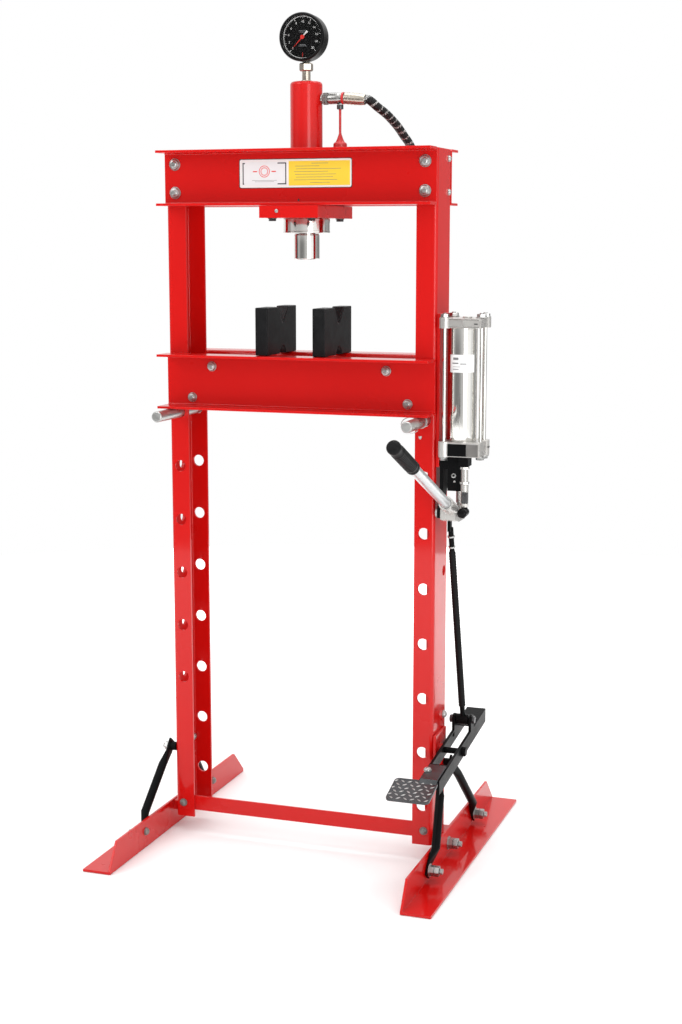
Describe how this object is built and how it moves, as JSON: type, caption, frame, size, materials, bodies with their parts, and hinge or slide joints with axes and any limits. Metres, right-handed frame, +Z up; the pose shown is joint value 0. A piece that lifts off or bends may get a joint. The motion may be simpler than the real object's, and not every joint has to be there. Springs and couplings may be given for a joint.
{
  "type": "hydraulic shop press",
  "caption": "Floor-standing H-frame hydraulic press with a pinned bed, arbor plates, pressure gauge, hand-lever pump and foot pedal.",
  "frame": {"origin": "on the floor under the middle of the bounding box", "axes": "+X to the press's right as seen from the front, +Y to its rear, +Z up"},
  "size_m": [0.7324, 0.805, 1.6638],
  "materials": {
    "red_paint": "glossy red enamel",
    "black_paint": "semi-gloss black",
    "black_plastic": "satin black",
    "black_rubber": "matt black",
    "zinc_plate": "bright zinc plate",
    "chrome": "polished",
    "bright_steel": "turned or drawn bright steel",
    "plated_brass": "dull nickel plate over brass",
    "black_cast_steel": "black, satin",
    "dial_black": "matt black with a printed scale",
    "gauge_glass": "clear",
    "needle_red": "satin red",
    "hose_braid": "black, finely flecked",
    "red_rubber": "soft red"
  },
  "bodies": {
    "frame": {"left_post": "red_paint", "right_post": "red_paint", "head_beam_front": "red_paint", "head_beam_rear": "red_paint", "left_foot": "red_paint", "right_foot": "red_paint", "cross_brace": "red_paint", "cylinder_tube": "red_paint", "cylinder_plate": "red_paint", "strut_left_front": "black_paint", "strut_left_rear": "black_paint", "strut_right_front": "black_paint", "strut_right_rear": "black_paint", "pump_body": "black_paint", "pedal_pivot_bolt": "black_paint", "pump_bracket": "red_paint", "pedal_bracket": "red_paint", "gauge_case": "black_plastic", "gauge_bezel": "black_plastic", "head_bolt_left_lower": "zinc_plate", "head_bolt_left_upper": "zinc_plate", "head_bolt_right_lower": "zinc_plate", "head_bolt_right_upper": "zinc_plate", "rocker_pivot_pin": "zinc_plate", "cylinder_lock_ring": "chrome", "reservoir_tube": "chrome", "rod_gland": "bright_steel", "return_spring": "bright_steel", "hose_coupler": "bright_steel", "pump_hose_fitting": "bright_steel", "reservoir_top_cap": "bright_steel", "reservoir_bottom_cap": "bright_steel", "gauge_stem": "plated_brass", "gauge_dial": "dial_black", "gauge_lens": "gauge_glass", "hydraulic_hose": "hose_braid", "dust_cap": "red_rubber"},
    "ram": {"ram_rod": "chrome", "ram_nose": "chrome", "ram_piston": "bright_steel", "piston_seal": "black_rubber"},
    "needle": {"gauge_needle": "needle_red"},
    "bed": {"bed_beam_front": "red_paint", "bed_beam_rear": "red_paint", "bed_tie_bolt_left_upper": "zinc_plate", "bed_tie_bolt_left_lower": "zinc_plate", "bed_tie_bolt_right_upper": "zinc_plate", "bed_tie_bolt_right_lower": "zinc_plate"},
    "arbor_left": {"arbor_plate_left": "black_cast_steel"},
    "arbor_right": {"arbor_plate_right": "black_cast_steel"},
    "pin_left": {"bed_pin_left": "zinc_plate"},
    "pin_right": {"bed_pin_right": "zinc_plate"},
    "pedal": {"pedal_arm": "black_paint", "pedal_tread": "bright_steel"},
    "link": {"link_rod": "black_paint"},
    "rocker": {"pump_rocker": "bright_steel", "hand_lever": "chrome", "lever_grip": "black_rubber"},
    "plunger": {"pump_plunger": "bright_steel"},
    "valve": {"release_valve_knob": "black_plastic"}
  },
  "joints": [
    {"name": "ram_slide", "type": "slide", "parent": "frame", "child": "ram", "axis": [0, 0, -1], "range_m": [0, 0.15], "stiffness_N_per_m": 400, "springref_m": -0.15, "deforming": ["return_spring"]},
    {"name": "needle_turn", "type": "hinge", "parent": "frame", "child": "needle", "pos_m": [-0.00819, 0.01702, 1.618], "axis": [0, 1, 0], "range_deg": [0, 270]},
    {"name": "bed_lift", "type": "slide", "parent": "frame", "child": "bed", "axis": [0, 0, 1], "range_m": [0, 0.1106]},
    {"name": "arbor_left_slide", "type": "slide", "parent": "bed", "child": "arbor_left", "axis": [-1, 0, 0], "range_m": [0, 0.15]},
    {"name": "arbor_right_slide", "type": "slide", "parent": "bed", "child": "arbor_right", "axis": [1, 0, 0], "range_m": [0, 0.15]},
    {"name": "pin_left_slide", "type": "slide", "parent": "frame", "child": "pin_left", "axis": [0, 1, 0], "range_m": [0, 0.22]},
    {"name": "pin_right_slide", "type": "slide", "parent": "frame", "child": "pin_right", "axis": [0, -1, 0], "range_m": [0, 0.22]},
    {"name": "pedal_hinge", "type": "hinge", "parent": "frame", "child": "pedal", "pos_m": [0.30481, 0.02252, 0.226], "axis": [1, 0, 0], "range_deg": [0, 10]},
    {"name": "link_hinge", "type": "hinge", "parent": "pedal", "child": "link", "pos_m": [0.30481, 0.09852, 0.27], "axis": [1, 0, 0], "range_deg": [-11.2, 0]},
    {"name": "rocker_hinge", "type": "hinge", "parent": "frame", "child": "rocker", "pos_m": [0.30681, -0.01248, 0.712], "axis": [1, 0, 0], "range_deg": [0, 31.5]},
    {"name": "plunger_slide", "type": "slide", "parent": "frame", "child": "plunger", "axis": [0, 0, 1], "range_m": [0, 0.0256]},
    {"name": "valve_turn", "type": "hinge", "parent": "frame", "child": "valve", "pos_m": [0.33181, -0.02748, 0.716], "axis": [0, 1, 0], "range_deg": [0, 180]}
  ],
  "couplings": [
    {"joint": "rocker_hinge", "follows": "pedal_hinge", "ratio": 3.14},
    {"joint": "link_hinge", "follows": "pedal_hinge", "ratio": -1.11},
    {"joint": "plunger_slide", "follows": "pedal_hinge", "m_per_rad": 0.1462}
  ]
}
